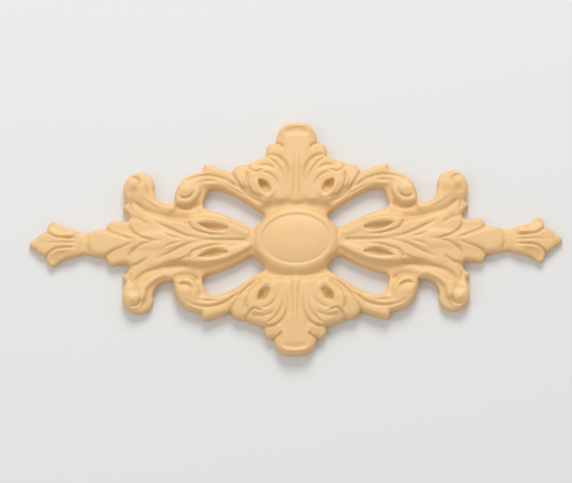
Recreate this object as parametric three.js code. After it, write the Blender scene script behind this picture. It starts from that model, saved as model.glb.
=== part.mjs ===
// Decorative frieze ornament: one cast applique with a flat back. An oval medallion sits between
// two palmettes and two long acanthus leaves, four scroll arms and four wing scrolls leave it, and
// a petalled finial ends each leaf. The relief is the same in all four quarters, so one quarter is
// drawn and mirrored. Millimetres, +Z out of the relief, origin in the middle of the flat back.
import * as THREE from 'three';
import { mergeVertices } from 'three/addons/utils/BufferGeometryUtils.js';

// Overall sizes
const LENGTH = 200;
const WIDTH = 90;
const THICKNESS = 8;
const RIM_HEIGHT = 3.4;
const RIM_ROUNDING = 1.9;
const RIM_SHARE = 0.75;
const CREASE_BOTTOM = 0.2;
const EYE_START_DEPTH = 0.5;
const MEDALLION_LENGTH = 25.2;
const MEDALLION_WIDTH = 18.8;
const RING_WIDTH = 2.3;
const LEAN = 0.018;
const CREST_SHIFT = 1.4;
const CREST_SHARE = 1 / 3;

// The free forms are drawn on a grid with 100 steps from the middle to the tip of a leaf and
// 45 steps from the middle to the tip of a palmette. Heights and depths are percent of THICKNESS.
const GRID_LONG = 100;
const GRID_SHORT = 45;
const STEP_X = LENGTH / 2 / GRID_LONG;
const STEP_Y = WIDTH / 2 / GRID_SHORT;
const STEP = (STEP_X + STEP_Y) / 2;
const PERCENT = THICKNESS / 100;

// Fineness of the faceted solid
const EDGE_STEP = 1.7;
const STROKE_STEP = 1.6;
const FILL_STEP = 1.8;
const CLOSEST_POINTS = 0.85;
const CLOSEST_FILL = 1.25;

// Outer edge of the quarter, from the tip of the finial to the tip of the palmette. Each run is
// one smooth curve, starts where the run before it ends, and meets it at a corner.
const OUTER_EDGE = [
  [[100, 0], [98.9, 1.3], [97.2, 2.2]],
  [[96.7, 3.1], [95.3, 3.7]],
  [[94.7, 4.4], [93.5, 4.7]],
  [[93, 6.7], [92.4, 7.9], [91.1, 8.6], [89.9, 7.9], [88.5, 6.8], [85.5, 5.5], [82, 4.7], [79.8, 3.9],
    [75, 4.8], [71.2, 5.4]],
  [[70.5, 7.2], [69.1, 8.4], [66, 8.05], [63.1, 8.1], [62.4, 9.4], [62.8, 11.1], [63.8, 12.3], [65, 13.1]],
  [[64.3, 14.2], [63.4, 15.2]],
  [[64.5, 18], [64.9, 21.2], [63.4, 24.7], [60.6, 26.8], [57.5, 27], [54.8, 25.6], [53.4, 22.9],
    [53.5, 20.2], [52.2, 17], [49.6, 15.1], [45.8, 14.8]],
  [[45.7, 17.5], [44.6, 21.4], [41.7, 25], [38.4, 26.5], [35.3, 27.4]],
  [[34.9, 28.9], [34.4, 29.9], [30.8, 29.2], [27.6, 28.1], [24.4, 26.8]],
  [[23.7, 27.9], [22.4, 29.3], [20.5, 29.8], [18.5, 29.9]],
  [[16.4, 31.1], [14, 31.9], [11.5, 32.9]],
  [[11.4, 35], [11, 36.6], [9.8, 37.6], [7.9, 37.8]],
  [[7.6, 39.7], [6.9, 41.8], [5.2, 43.7], [3, 44.7], [0, 45]],
];

// Edge of the window between the arm, the leaf and the medallion
const WINDOW_EDGE = [
  [[16.1, 5.2], [14.2, 6.5], [11.9, 9.2], [12, 10.9], [15, 13.1], [20, 16.4], [25, 19.2],
    [28, 20.4], [31, 20.9], [33.2, 20], [34.4, 17], [35, 14.2], [33.7, 12.5], [30, 11.4],
    [25, 9.5], [20, 7], [17.3, 5.4], [16.1, 5.2]],
];

// Crown lines: the broad height of each form along its back, and of each hollow along its floor
const CROWN_LINES = [
  { form: 'leaf root', from: 74, to: 76, path: [[17, 0.4], [24, 1]] },
  { form: 'leaf stem', from: 82, to: 82, path: [[31, 0.6], [40, 0], [50, 0]] },
  { form: 'leaf end', from: 82, to: 60, path: [[50, 0], [72, 0]] },
  { form: 'neck', from: 60, to: 54, path: [[72, 0], [77.4, 0]] },
  { form: 'waist', from: 46, to: 44, path: [[79.6, 0], [79.6, 4]] },
  { form: 'finial cup', from: 50, to: 60, path: [[82, 0], [88, 0]] },
  { form: 'finial tip', from: 60, to: 36, path: [[88, 0], [100, 0]] },
  { form: 'finial petal', from: 56, to: 42, path: [[86, 3], [91, 7]] },
  { form: 'leaf shoulder', from: 80, to: 84,
    path: [[18.5, 2.6], [22, 4.4], [25, 5.6], [28.5, 7], [33, 7.6], [38, 7]] },
  { form: 'leaf edge', from: 58, to: 54, path: [[17, 4.4], [20, 6.2], [24, 8.4]] },
  { form: 'leaf sill', from: 56, to: 52, path: [[27, 9.4], [31, 10.3], [35, 12.3]] },
  { form: 'leaf blades', from: 82, to: 66, path: [[40, 5], [52, 6], [61, 6]] },
  { form: 'tooth', from: 64, to: 50, path: [[62, 5], [69, 7.2]] },
  { form: 'scroll valley', from: 52, to: 56, path: [[36.6, 11.2], [41, 11], [46, 10.8]] },
  { form: 'wing scroll', from: 66, to: 72, path: [[47, 12.4], [53, 14.6], [56.8, 17.6], [57.4, 20.5]] },
  { form: 'wing side', from: 54, to: 48,
    path: [[49.4, 14.6], [52.4, 16.6], [54.3, 19.4], [54.6, 23], [56.6, 25.6]] },
  { form: 'wing lobe', from: 66, to: 66, path: [[60, 20], [62, 24]] },
  { form: 'wing barb', from: 64, to: 50, path: [[58, 10.6], [63, 12.4]] },
  { form: 'palmette shoulder', from: 82, to: 84, path: [[6, 17.6], [8, 24], [13, 26], [17, 22]] },
  { form: 'palmette heart', from: 82, to: 82, path: [[12, 16.6], [15, 19.6]] },
  { form: 'palmette stem', from: 80, to: 84, path: [[0, 16.8], [0, 30]] },
  { form: 'palmette tip', from: 84, to: 72, path: [[0, 30], [0, 43]] },
  { form: 'second lobe', from: 76, to: 60, path: [[6.4, 33.6], [9.5, 36]] },
  { form: 'third lobe', from: 78, to: 62, path: [[11, 29.6], [15, 31]] },
  { form: 'fourth lobe', from: 76, to: 64, path: [[19.6, 22.5], [22, 28]] },
  { form: 'moat', from: 64, to: 48, path: [[0, 12.4], [6, 12.2], [11.6, 11.4]] },
  { form: 'arm root', from: 60, to: 62, path: [[14.5, 14.8], [20, 18.4]] },
  { form: 'arm', from: 62, to: 70, path: [[20, 19.2], [26, 22.2], [33, 23.6]] },
  { form: 'arm band', from: 62, to: 70, path: [[26, 25.6], [33, 27], [40, 25.4]] },
  { form: 'volute ring', from: 76, to: 76, path: [[37.2, 19], [38.8, 16.8], [41, 16.2], [44, 16.6]] },
  { form: 'volute side', from: 56, to: 52, path: [[34.8, 19], [35.6, 16.6], [36.8, 14.8]] },
  { form: 'volute', from: 76, to: 76, path: [[41, 20], [43.4, 21.4]] },
];

// Strokes of the carving, with their depth and how far each reaches to the left and to the right
// of its path. A crease is a sharp valley, a bead a round ridge, a hollow a round dish, and an eye
// a pit that deepens from its start. Ends are the shares of the length over which a stroke fades
// in and out. An eye is widest at a share of its length, starts with a share of that width, and
// ends in a point.
const STROKES = [
  { form: 'valley of the leaf', cut: 'crease', depth: 9, reach: [1.3, 1.3], ends: [0.05, 0.5],
    path: [[18, 0], [24, 0], [31, 0], [42, 0.4]] },
  { form: 'hook of the first leaflet', cut: 'crease', depth: 9, reach: [0.9, 1.2], ends: [0.3, 0.05],
    path: [[27, 1.9], [31, 2.2], [34.5, 3], [37.2, 3.8], [38.9, 4.7], [39.8, 6.2], [40.4, 7.6]] },
  { form: 'second leaflet', cut: 'crease', depth: 9, reach: [1, 1.4], ends: [0.35, 0.25],
    path: [[34, 0.9], [38, 1.1], [41, 1.8], [43.2, 2.7], [45.4, 3.8], [48, 5.1], [50.5, 6.2],
      [53, 7.6]] },
  { form: 'side of the second leaflet', cut: 'crease', depth: 7, reach: [1.8, 0.8], ends: [0.2, 0.4],
    path: [[39.8, 5.4], [41.6, 6.6], [44.4, 7.7], [47.4, 8.4], [50.4, 8.8]] },
  { form: 'small leaflet', cut: 'crease', depth: 6, reach: [0.9, 0.9], ends: [0.3, 0.3],
    path: [[43, 0.7], [45.6, 1.2], [48, 2], [50, 3.2]] },
  { form: 'third leaflet', cut: 'crease', depth: 9, reach: [1, 1.5], ends: [0.3, 0.2],
    path: [[50, 0], [53.4, 0.1], [55.8, 0.8], [57.9, 1.5], [59.5, 2.5], [61.1, 3.7], [62.1, 5.2],
      [62.6, 8.2]] },
  { form: 'curl by the notch', cut: 'crease', depth: 8, reach: [2, 0.8], ends: [0.2, 0],
    path: [[55.5, 5.7], [56.4, 6.9], [57.8, 7.8], [59.2, 8.7], [61, 9], [62.3, 9.8]] },
  { form: 'tooth', cut: 'crease', depth: 8, reach: [1.1, 1.5], ends: [0.25, 0],
    path: [[60, 0.6], [62.6, 1.2], [64.8, 2.1], [67, 2.9], [69, 3.8], [71.2, 5.4]] },
  { form: 'foot of the wing scroll', cut: 'crease', depth: 11, reach: [3.2, 1.6], ends: [0.1, 0.15],
    path: [[38.5, 8.7], [41, 8.9], [45.5, 9.2], [51.7, 10.5], [56.7, 12.2], [59.7, 14.6], [62.7, 17.6]] },
  { form: 'step of the wing scroll', cut: 'crease', depth: 4, reach: [1, 2.4], ends: [0.25, 0.3],
    path: [[50.3, 12.4], [52.6, 13.2], [54.6, 14.4], [57.2, 16.2], [59.4, 17.6]] },
  { form: 'barb', cut: 'crease', depth: 5, reach: [1, 1], ends: [0, 0.2],
    path: [[61.6, 15.4], [62, 13.8], [61.8, 12]] },
  { form: 'curl of the wing lobe', cut: 'crease', depth: 9, reach: [0.9, 1.1], ends: [0.2, 0.25],
    path: [[58.1, 21.4], [58.4, 23.2], [59.6, 24.7], [61.4, 25], [62.8, 24.4]] },
  { form: 'channel of the arm', cut: 'crease', depth: 9, reach: [1.1, 1.2], ends: [0.15, 0.4],
    path: [[20.5, 19.8], [24, 22.2], [26, 23.6], [28.3, 24.5], [31.2, 25.2], [33.7, 25.4], [36.9, 25],
      [39.8, 24], [42, 22.4], [43.6, 20.4]] },
  { form: 'inner bead of the arm', cut: 'crease', depth: 6, reach: [1.6, 1], ends: [0.35, 0.5],
    path: [[29, 23], [33, 23.1], [35.6, 22.8], [37.6, 21.9]] },
  { form: 'fine crease of the arm', cut: 'crease', depth: 5, reach: [0.8, 0.8], ends: [0.2, 0.3],
    path: [[18.4, 17], [21, 18.4], [24, 20.2], [27, 21.6]] },
  { form: 'crescent of the volute', cut: 'crease', depth: 11, reach: [0.9, 1.1], ends: [0.35, 0.25],
    path: [[38.4, 20], [38.8, 18.4], [39.8, 17.2], [41.6, 16.6], [43.2, 16.9], [44.2, 17.7]] },
  { form: 'foot of the volute', cut: 'crease', depth: 12, reach: [2.2, 2.4], ends: [0.15, 0.05],
    path: [[36, 15.4], [38.2, 13.6], [41.5, 13], [45.7, 13.9]] },
  { form: 'first lobe', cut: 'crease', depth: 10, reach: [1, 1.1], ends: [0, 0.25],
    path: [[7.9, 37.8], [6.2, 37], [4.7, 35.4]] },
  { form: 'second lobe', cut: 'crease', depth: 10, reach: [0.8, 1.5], ends: [0, 0.5],
    path: [[11.5, 32.9], [9, 33.1], [6.4, 32], [4.4, 29.8], [3.3, 27], [3.1, 23.5], [3.3, 19.5]] },
  { form: 'third lobe', cut: 'crease', depth: 7, reach: [0.9, 0.8], ends: [0.05, 0.5],
    path: [[10.8, 32.1], [8.7, 30.8], [6.9, 28.9], [5.4, 26.4], [4.6, 23.8], [4.5, 20.4]] },
  { form: 'fold above the eye', cut: 'crease', depth: 6, reach: [0.8, 0.9], ends: [0.2, 0.3],
    path: [[7.8, 27], [9.4, 28.5], [12, 29.2], [15, 29]] },
  { form: 'brow of the eye', cut: 'crease', depth: 7, reach: [1, 1], ends: [0.45, 0.2],
    path: [[6.3, 19.6], [7.4, 22.8], [9.2, 24.9], [11.2, 26], [13.2, 26]] },
  { form: 'wave by the notch', cut: 'crease', depth: 9, reach: [1, 1.1], ends: [0.2, 0],
    path: [[11.8, 27.4], [13.4, 27.1], [15.4, 26.5], [17, 27.5], [18.5, 29.9]] },
  { form: 'flute of the fourth lobe', cut: 'crease', depth: 8, reach: [0.9, 1.1], ends: [0.1, 0.2],
    path: [[18.2, 27], [18.7, 24.6], [18.2, 21.4], [16.6, 18.7], [14.2, 17], [11.6, 16]] },
  { form: 'second flute', cut: 'crease', depth: 6, reach: [0.8, 0.8], ends: [0.2, 0.2],
    path: [[20.3, 24.4], [19.6, 21.6], [17.6, 18.8], [15, 16.7]] },
  { form: 'root of the arm', cut: 'crease', depth: 9, reach: [1.1, 1.1], ends: [0, 0.2],
    path: [[24.4, 26.8], [23, 24.4], [21.4, 21.8], [19, 18.8], [16, 16.2], [13.6, 14.6]] },
  { form: 'side of the palmette stem', cut: 'crease', depth: 5, reach: [0.7, 0.9], ends: [0.3, 0.3],
    path: [[1, 34], [1, 27], [1.2, 19.5], [2, 15.6], [3.2, 13.4]] },
  { form: 'side of the finial petal', cut: 'crease', depth: 9, reach: [0.8, 0.9], ends: [0.15, 0],
    path: [[82.6, 1.8], [87, 1.9], [89.8, 2.2], [92, 3.3], [93.5, 4.7]] },
  { form: 'middle of the finial', cut: 'crease', depth: 6, reach: [0.8, 0.8], ends: [0.15, 0.6],
    path: [[82.6, 0], [88, 0], [96, 0]] },
  { form: 'end of the neck', cut: 'crease', depth: 6, reach: [1.4, 0.9], ends: [0, 0.2],
    path: [[78.2, 0], [78, 2.2], [77.4, 4.3]] },
  { form: 'palmette stem', cut: 'bead', depth: 2, reach: [1, 1], ends: [0.2, 0.4],
    path: [[0, 14], [0, 33]] },
  { form: 'lip of the palmette', cut: 'bead', depth: 6, reach: [1.6, 1.6], ends: [0, 0.5],
    path: [[0, 44.2], [3.2, 43.6], [5.6, 41.8]] },
  { form: 'rim of the eye', cut: 'bead', depth: 5, reach: [1.3, 1.3], ends: [0.2, 0.2],
    path: [[8.3, 21], [8.8, 18.2], [10.8, 16.6], [13, 18.2], [14.9, 21], [15.6, 24]] },
  { form: 'ridge over the leaf eye', cut: 'bead', depth: 4, reach: [1.1, 1.1], ends: [0.2, 0.2],
    path: [[25, 6], [28.5, 7.3], [33, 7.9], [37, 7.6]] },
  { form: 'ridge under the leaf eye', cut: 'bead', depth: 4, reach: [0.9, 0.9], ends: [0.2, 0.2],
    path: [[25, 3], [29, 2.7], [33, 3.1], [36.4, 4.6]] },
  { form: 'button of the volute', cut: 'bead', depth: 4, reach: [2, 2.8], ends: [0, 0],
    path: [[40.4, 19.8], [42.6, 19.6]] },
  { form: 'ball of the wing lobe', cut: 'bead', depth: 13, reach: [1.8, 3.9], ends: [0.4, 0.4],
    path: [[58.8, 22.9], [61.1, 22.4], [63.4, 22.9]] },
  { form: 'ridge round the wing lobe', cut: 'bead', depth: 4, reach: [1, 1], ends: [0.3, 0.3],
    path: [[57.2, 18.2], [57.2, 21.8], [57.9, 24.4], [60, 26]] },
  { form: 'ridge of the finial petal', cut: 'bead', depth: 5, reach: [0.9, 0.9], ends: [0.2, 0.2],
    path: [[82.8, 2.9], [87, 3], [89.8, 3.5], [91.6, 4.7], [92.3, 6]] },
  { form: 'below the palmette lip', cut: 'hollow', depth: 4, reach: [2, 2], ends: [0, 0],
    path: [[0, 42], [3.2, 41.5]] },
  { form: 'finial petal', cut: 'hollow', depth: 4, reach: [1.8, 1.8], ends: [0, 0],
    path: [[87.2, 4.7], [90.6, 6.9]] },
  { form: 'dish of the wing lobe', cut: 'hollow', depth: 4, reach: [2.4, 2.4], ends: [0, 0],
    path: [[60.4, 17.8], [61, 19.4]] },
  { form: 'palmette eye', cut: 'eye', depth: 30, reach: [1.9, 1.9], widest: 0.35, start: 0.8,
    path: [[10.9, 19.7], [12, 21], [14.1, 23.5]] },
  { form: 'leaf eye', cut: 'eye', depth: 22, reach: [1.5, 1.5], widest: 0.4, start: 0.35,
    path: [[25.8, 4.7], [30, 4.9], [33.6, 5.6], [36.9, 6.5]] },
];

// Points of a grid path, as millimetres
const place = ([x, y]) => new THREE.Vector3(x * STEP_X, y * STEP_Y, 0);

// Smooth curve through a path, as points about one step apart
function trace(path, step) {
  const curve = new THREE.CatmullRomCurve3(path.map(place), false, 'centripetal');
  const parts = Math.max(path.length > 2 ? 2 : 1, Math.round(curve.getLength() / step));
  return [...curve.getSpacedPoints(parts).slice(0, -1), place(path.at(-1))];
}

// Runs of an edge joined to one line. A corner belongs to the end of its run.
function traceEdge(runs, step) {
  const line = [place(runs[0][0])];
  runs.forEach((run, index) => {
    const path = index === 0 ? run : [runs[index - 1].at(-1), ...run];
    line.push(...trace(path, step).slice(1));
  });
  return line;
}

// Nearest place on a line: its distance, its side (+1 left, -1 right) and its share of the length
function nearest(line, x, y) {
  const found = { distance: Infinity, side: 1, share: 0 };
  for (let i = 0; i + 1 < line.length; i += 1) {
    const dx = line[i + 1].x - line[i].x;
    const dy = line[i + 1].y - line[i].y;
    const along = ((x - line[i].x) * dx + (y - line[i].y) * dy) / (dx * dx + dy * dy);
    const t = THREE.MathUtils.clamp(along, 0, 1);
    const away = Math.hypot(x - line[i].x - t * dx, y - line[i].y - t * dy);
    if (away < found.distance) {
      found.distance = away;
      found.side = Math.sign(dx * (y - line[i].y) - dy * (x - line[i].x)) || 1;
      found.share = (i + t) / (line.length - 1);
    }
  }
  return found;
}

// Lines of the carving, traced once
const withLine = (stroke) => ({ ...stroke, line: trace(stroke.path, STROKE_STEP) });
const crowns = CROWN_LINES.map(withLine);
const strokes = STROKES.map(withLine);
const outerLine = traceEdge(OUTER_EDGE, EDGE_STEP);
const windowLine = traceEdge(WINDOW_EDGE, EDGE_STEP);

// Broad height of the relief: the crown lines, each weighed by its nearness
function broadHeight(x, y) {
  const softness = STEP * STEP;
  let total = 0;
  let weights = 0;
  crowns.forEach(({ line, from, to }) => {
    const { distance, share } = nearest(line, x, y);
    const weight = 1 / (distance * distance + softness) ** 2;
    total += weight * THREE.MathUtils.lerp(from, to, share);
    weights += weight;
  });
  return PERCENT * total / weights;
}

// Share of a stroke's depth that is left at a share of its length, for ends that fade
function fade(share, [start, end]) {
  const rising = start > 0 ? Math.min(share / start, 1) : 1;
  const falling = end > 0 ? Math.min((1 - share) / end, 1) : 1;
  return rising * falling;
}

// Percent that a stroke adds to the height or takes from it, at a place found beside its line
function strokeHeight({ cut, depth, reach, ends, widest, start }, { distance, side, share }) {
  const away = distance / STEP;
  if (cut === 'eye') {
    const swell = start + (1 - start) * Math.sin(Math.min(share / widest, 1) * (Math.PI / 2));
    const narrowing = THREE.MathUtils.clamp((share - widest) / (1 - widest), 0, 1);
    const taper = Math.max(Math.cos(narrowing * (Math.PI / 2)), 0);
    const t = away / Math.max(reach[0] * swell * taper ** 0.8, 0.01);
    const deepening = THREE.MathUtils.lerp(EYE_START_DEPTH, 1, Math.min(share * 2, 1));
    return t < 1 ? -depth * deepening * (1 - t ** 2.5) * Math.sqrt(taper) : 0;
  }
  const within = side > 0 ? reach[0] : reach[1];
  if (cut === 'crease') {
    const t = Math.hypot(away, CREASE_BOTTOM) / within;
    const flank = (1 - t) / (1 - CREASE_BOTTOM / within);
    return t < 1 ? -depth * flank * flank * fade(share, ends) : 0;
  }
  const t = away / within;
  const height = t < 1 ? depth * (1 - t * t) ** 2 * fade(share, ends) : 0;
  return cut === 'bead' ? height : -height;
}

// Height that the strokes add to the broad height or take from it
function carvedHeight(x, y) {
  return PERCENT * strokes.reduce((sum, stroke) => sum + strokeHeight(stroke, nearest(stroke.line, x, y)), 0);
}

// Oval medallion: a dome, and a ring that steps up from the dome's edge and falls to the carving
const DOME_RISE = 15;
const DOME_FULLNESS = 3;
const RING_TOP = 89;
const RING_STEP = 0.8;
const RING_FALL = 6;
const FOOT_DEPTH = 2;
const FOOT_REACH = 0.6;

// Distance outwards from the edge of the medallion's dome, along the line from its middle
function beyondDome(x, y) {
  const share = Math.hypot(x / (MEDALLION_LENGTH / 2), y / (MEDALLION_WIDTH / 2));
  return share === 0 ? -MEDALLION_WIDTH / 2 : Math.hypot(x, y) * (1 - 1 / share);
}

function medallionHeight(x, y, around) {
  const out = beyondDome(x, y);
  const edge = 100 - DOME_RISE;
  if (out > 0) {
    const stepT = Math.min(out / RING_STEP, 1);
    const fallT = Math.max(out - RING_STEP, 0) / (RING_WIDTH - RING_STEP);
    const ring = RING_TOP - (RING_TOP - edge) * (1 - stepT) ** 2 - RING_FALL * fallT * fallT;
    const footT = Math.min(Math.max(out - RING_WIDTH, 0) / FOOT_REACH, 1);
    return Math.max(PERCENT * ring, around - PERCENT * FOOT_DEPTH * (1 - footT) ** 2);
  }
  const share = Math.hypot(x / (MEDALLION_LENGTH / 2), y / (MEDALLION_WIDTH / 2));
  return PERCENT * (edge + DOME_RISE * (1 - share ** DOME_FULLNESS));
}

// Distance to the nearest edge, outer or window
function edgeDistance(x, y) {
  return Math.min(nearest(outerLine, x, y).distance, nearest(windowLine, x, y).distance);
}

// Height of the relief above the flat back, rounded down to the rim at every edge
function reliefHeight(x, y) {
  const around = broadHeight(x, y) + carvedHeight(x, y);
  const full = medallionHeight(x, y, around);
  const inward = 1 - Math.min(edgeDistance(x, y) / RIM_ROUNDING, 1);
  const rim = Math.min(RIM_HEIGHT, RIM_SHARE * full);
  return rim + (full - rim) * Math.sqrt(1 - inward * inward);
}

// Net of triangles over the quarter's plan. It takes in points one at a time and turns shared
// sides, so that no point lies inside a neighbouring triangle's circle. Edges stay as they are.
class Net {
  constructor(points, faces) {
    this.points = points;
    this.apexes = new Map();
    faces.forEach((face) => this.add(...face));
    this.settle();
  }

  // Corner across the side from a to b, which is on its left
  apex(a, b) {
    return this.apexes.get(`${a} ${b}`);
  }

  add(a, b, c) {
    this.apexes.set(`${a} ${b}`, c).set(`${b} ${c}`, a).set(`${c} ${a}`, b);
  }

  remove(a, b, c) {
    [[a, b], [b, c], [c, a]].forEach(([from, to]) => this.apexes.delete(`${from} ${to}`));
  }

  faces() {
    const sides = [...this.apexes].map(([side, apex]) => [...side.split(' ').map(Number), apex]);
    return sides.filter(([a, b, c]) => a < b && a < c);
  }

  // Twice the area of a triangle, positive where its corners run anticlockwise
  area(a, b, c) {
    const [p, q, r] = [this.points[a], this.points[b], this.points[c]];
    return (q.x - p.x) * (r.y - p.y) - (q.y - p.y) * (r.x - p.x);
  }

  // Whether corner d lies inside the circle through a, b and c
  inCircle(a, b, c, d) {
    const o = this.points[d];
    const rows = [a, b, c].map((i) => {
      const [x, y] = [this.points[i].x - o.x, this.points[i].y - o.y];
      return [x, y, x * x + y * y];
    });
    const [p, q, r] = rows;
    const value = p[0] * (q[1] * r[2] - q[2] * r[1])
      - p[1] * (q[0] * r[2] - q[2] * r[0])
      + p[2] * (q[0] * r[1] - q[1] * r[0]);
    return value > 1e-7;
  }

  // Turns the side a-b of triangle a-b-c where the corner across it lies in the circle
  turn(a, b, c) {
    const across = this.apex(b, a);
    if (across === undefined || !this.inCircle(a, b, c, across)) return;
    this.remove(a, b, c);
    this.remove(b, a, across);
    this.add(a, across, c);
    this.add(across, b, c);
    this.turn(a, across, c);
    this.turn(across, b, c);
  }

  settle() {
    this.faces().forEach(([a, b, c]) => {
      [[a, b, c], [b, c, a], [c, a, b]].forEach((side) => {
        if (this.apex(side[0], side[1]) === side[2]) this.turn(...side);
      });
    });
  }

  // Takes in a point inside the net
  insert(point) {
    const p = this.points.push(point) - 1;
    const home = this.faces().find(([a, b, c]) => (
      this.area(a, b, p) > 0 && this.area(b, c, p) > 0 && this.area(c, a, p) > 0));
    if (!home) {
      this.points.pop();
      return;
    }
    const [a, b, c] = home;
    this.remove(a, b, c);
    [[a, b], [b, c], [c, a]].forEach(([from, to]) => this.add(from, to, p));
    [[a, b], [b, c], [c, a]].forEach(([from, to]) => this.turn(from, to, p));
  }

  // Takes in a point on the edge from a to b, and returns its number
  divide(a, b, point) {
    const p = this.points.push(point) - 1;
    const c = this.apex(a, b);
    this.remove(a, b, c);
    this.add(a, p, c);
    this.add(p, b, c);
    this.turn(p, b, c);
    this.turn(b, c, p);
    this.turn(c, a, p);
    return p;
  }
}

// Evenly spaced points beside a line, a reach away from it
function beside(line, reach) {
  return line.slice(1).map((end, i) => {
    const along = end.clone().sub(line[i]).normalize();
    const middle = end.clone().add(line[i]).multiplyScalar(0.5);
    return new THREE.Vector3(middle.x - along.y * reach, middle.y + along.x * reach, 0);
  });
}

// Points of an oval round the medallion, a distance outside its dome
function ovalPoints(out) {
  const [a, b] = [MEDALLION_LENGTH / 2 + out, MEDALLION_WIDTH / 2 + out];
  const count = Math.round(((a + b) / 2) * (Math.PI / 2) / STROKE_STEP);
  return Array.from({ length: count }, (_, i) => {
    const angle = ((i + 0.5) / count) * (Math.PI / 2);
    return new THREE.Vector3(a * Math.cos(angle), b * Math.sin(angle), 0);
  });
}

// Places inside the quarter that the net takes in, in order: those that carry the form come first
function carvingPoints() {
  const rows = Math.ceil(WIDTH / 2 / (FILL_STEP * Math.sin(Math.PI / 3)));
  const columns = Math.ceil(LENGTH / 2 / FILL_STEP);
  const fill = [];
  for (let row = 0; row < rows; row += 1) {
    for (let column = 0; column < columns; column += 1) {
      const x = (column + 0.5 + (row % 2) / 2) * FILL_STEP;
      fill.push(new THREE.Vector3(x, (row + 0.5) * FILL_STEP * Math.sin(Math.PI / 3), 0));
    }
  }
  const ovals = [0, RING_STEP, RING_WIDTH, -RING_WIDTH];
  const sharp = strokes.filter(({ cut }) => cut === 'crease' || cut === 'eye');
  const round = strokes.filter(({ cut }) => cut === 'bead' || cut === 'hollow');
  return [
    ...[outerLine, windowLine].flatMap((line) => beside(line, RIM_ROUNDING * 0.6)),
    ...ovals.flatMap(ovalPoints),
    ...sharp.flatMap(({ line }) => line),
    ...sharp.flatMap(({ line, reach }) => [...beside(line, reach[0]), ...beside(line, -reach[1])]),
    ...round.flatMap(({ line }) => line),
    ...fill,
  ].map((point, i, all) => ({
    point,
    closest: i < all.length - fill.length ? CLOSEST_POINTS : CLOSEST_FILL,
  }));
}

// Net over the quarter: the edges, points along both axes, and the places of the carving. Its
// first corner is the middle of the ornament, and the outer edge from tip to top comes next.
function quarterNet(corners, faces) {
  const net = new Net([...corners], faces);
  const [middle, tip, top] = [0, 1, outerLine.length];
  const divideAxis = (from, to) => {
    const [start, end] = [net.points[from], net.points[to]];
    const count = Math.round(start.distanceTo(end) / STROKE_STEP);
    let last = from;
    for (let i = 1; i < count; i += 1) last = net.divide(last, to, start.clone().lerp(end, i / count));
  };
  divideAxis(middle, tip);
  divideAxis(top, middle);
  carvingPoints().forEach(({ point, closest }) => {
    const clear = net.points.every((other) => other.distanceTo(point) > closest);
    const inside = Math.min(point.x, point.y) > closest / 2 && edgeDistance(point.x, point.y) > closest * 0.7;
    if (clear && inside) net.insert(point);
  });
  return net;
}

// Slight lean of the whole casting, and the shift of both palmettes along the width
function settle(x, y) {
  const half = WIDTH / 2;
  const over = Math.max(Math.abs(y) / half - (1 - CREST_SHARE), 0) / CREST_SHARE;
  return [x + LEAN * y * (1 - Math.abs(x) / (LENGTH / 2)), y + CREST_SHIFT * over * over];
}

// The whole ornament: relief, back and walls of the quarter, mirrored to all four quarters
function ornamentGeometry() {
  const loop = [new THREE.Vector3(0, 0, 0), ...outerLine];
  const hole = windowLine.slice(0, -1);
  if (THREE.ShapeUtils.isClockWise(hole) === THREE.ShapeUtils.isClockWise(loop)) hole.reverse();
  const corners = [...loop, ...hole];
  const backFaces = THREE.ShapeUtils.triangulateShape(loop, [hole]);
  const net = quarterNet(corners, backFaces);
  const heights = net.points.map(({ x, y }) => reliefHeight(x, y));

  const triangles = [];
  const corner = (i, z) => [net.points[i].x, net.points[i].y, z];
  net.faces().forEach((face) => triangles.push(face.map((i) => corner(i, heights[i]))));
  backFaces.forEach(([a, b, c]) => triangles.push([a, c, b].map((i) => corner(i, 0))));
  const wall = (a, b) => {
    triangles.push([corner(a, heights[a]), corner(a, 0), corner(b, 0)]);
    triangles.push([corner(a, heights[a]), corner(b, 0), corner(b, heights[b])]);
  };
  for (let i = 1; i + 1 < loop.length; i += 1) wall(i, i + 1);
  hole.forEach((_, i) => wall(loop.length + i, loop.length + ((i + 1) % hole.length)));

  const positions = [];
  [[1, 1], [-1, 1], [-1, -1], [1, -1]].forEach(([flipX, flipY]) => {
    triangles.forEach((triangle) => {
      const turned = flipX * flipY > 0 ? triangle : [...triangle].reverse();
      turned.forEach(([x, y, z]) => positions.push(...settle(x * flipX, y * flipY), z));
    });
  });
  const geometry = new THREE.BufferGeometry();
  geometry.setAttribute('position', new THREE.Float32BufferAttribute(positions, 3));
  return mergeVertices(geometry, 1e-4);
}

const castResin = new THREE.MeshStandardMaterial({ color: 0xe9c795, roughness: 0.55, metalness: 0 });
const ornament = new THREE.Mesh(ornamentGeometry(), castResin);
ornament.name = 'ornament';

const group = new THREE.Group();
group.add(ornament);
export default group;
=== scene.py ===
"""Decorative frieze ornament, one moulded applique lying on its flat back.

The carving of one quarter is drawn with named crowns and strokes, mirrored to the whole ornament,
and takes the place of the solid that the frame holds. The ornament's sizes are in millimetres and
become metres in the last step of its making. The studio's are in metres.
"""
import logging
import math
from dataclasses import dataclass, field
from enum import Enum

import bmesh
import bpy
import numpy as np
from mathutils import Matrix, Vector


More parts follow.
